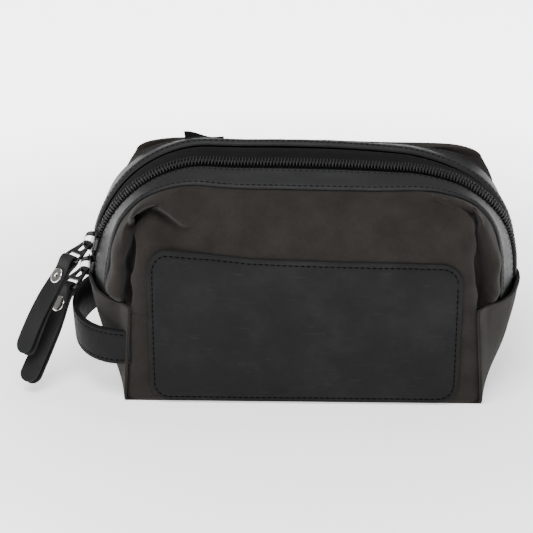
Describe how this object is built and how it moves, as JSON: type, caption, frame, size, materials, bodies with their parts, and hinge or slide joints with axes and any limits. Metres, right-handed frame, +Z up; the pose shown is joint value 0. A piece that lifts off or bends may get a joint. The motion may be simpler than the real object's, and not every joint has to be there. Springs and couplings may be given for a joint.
{
  "type": "shaving kit bag",
  "caption": "Boxed canvas wash bag with leather bands, front patch and side loop handle, closed by an arched double-slider zip with long leather pulls.",
  "frame": {"origin": "centre of the base, on the surface the bag stands on", "axes": "+X along the bag towards its right end (the handle and sliders are at -X), +Y towards its back, +Z up"},
  "size_m": [0.2978, 0.1067, 0.1392],
  "materials": {
    "canvas": "woven, dry",
    "lining": "fine plain weave",
    "leather": "pebbled, satin",
    "thread": "waxed thread",
    "zip_tape": "woven tape",
    "zip_coil": "satin",
    "black_metal": "black plated",
    "rivet_metal": "polished nickel",
    "label": "woven tape"
  },
  "bodies": {
    "bag": {"front_panel": "canvas", "back_panel": "canvas", "base_panel": "canvas", "left_end_panel": "canvas", "right_end_panel": "canvas", "lining_front_panel": "lining", "lining_back_panel": "lining", "lining_base_panel": "lining", "lining_left_end_panel": "lining", "lining_right_end_panel": "lining", "front_band": "leather", "front_band_thread": "thread", "back_band": "leather", "back_band_thread": "thread", "front_zip_tape": "zip_tape", "back_zip_tape": "zip_tape", "front_zip_coil": "zip_coil", "back_zip_coil": "zip_coil", "front_patch": "leather", "front_patch_thread": "thread", "label_tab": "label"},
    "handle": {"handle_outer_strap": "leather", "handle_inner_strap": "leather", "handle_thread": "thread"},
    "upper_slider": {"upper_slider": "black_metal"},
    "lower_slider": {"lower_slider": "black_metal"},
    "upper_tab": {"upper_pull_tab": "black_metal"},
    "lower_tab": {"lower_pull_tab": "black_metal"},
    "upper_pull": {"upper_pull_strap": "leather", "upper_rivet_cap": "rivet_metal", "upper_rivet_post": "rivet_metal"},
    "lower_pull": {"lower_pull_strap": "leather", "lower_rivet_cap": "rivet_metal", "lower_rivet_post": "rivet_metal"}
  },
  "joints": [
    {"name": "handle_swing", "type": "hinge", "parent": "bag", "child": "handle", "pos_m": [-0.1149, 0, 0.035], "axis": [0, 1, 0], "range_deg": [-40, 4]},
    {"name": "upper_slider_travel", "type": "hinge", "parent": "bag", "child": "upper_slider", "pos_m": [-0.0535, 0, 0.05977], "axis": [0, 1, 0], "range_deg": [0, 64]},
    {"name": "lower_slider_travel", "type": "hinge", "parent": "bag", "child": "lower_slider", "pos_m": [-0.0535, 0, 0.05977], "axis": [0, 1, 0], "range_deg": [0, 1.2]},
    {"name": "upper_tab_swing", "type": "hinge", "parent": "upper_slider", "child": "upper_tab", "pos_m": [-0.12896, -0.00147, 0.07922], "axis": [-0.5918, 0.7942, -0.1378], "range_deg": [-1.5, 40]},
    {"name": "upper_pull_swing", "type": "hinge", "parent": "upper_tab", "child": "upper_pull", "pos_m": [-0.13902, -0.01017, 0.0723], "axis": [-0.5918, 0.7942, -0.1378], "range_deg": [-1.5, 60]},
    {"name": "lower_tab_swing", "type": "hinge", "parent": "lower_slider", "child": "lower_tab", "pos_m": [-0.13137, -0.00147, 0.06257], "axis": [-0.6102, 0.765, -0.2061], "range_deg": [-1.5, 2.5]},
    {"name": "lower_pull_swing", "type": "hinge", "parent": "lower_tab", "child": "lower_pull", "pos_m": [-0.14073, -0.01083, 0.05552], "axis": [-0.6102, 0.765, -0.2061], "range_deg": [-1.5, 3]}
  ]
}
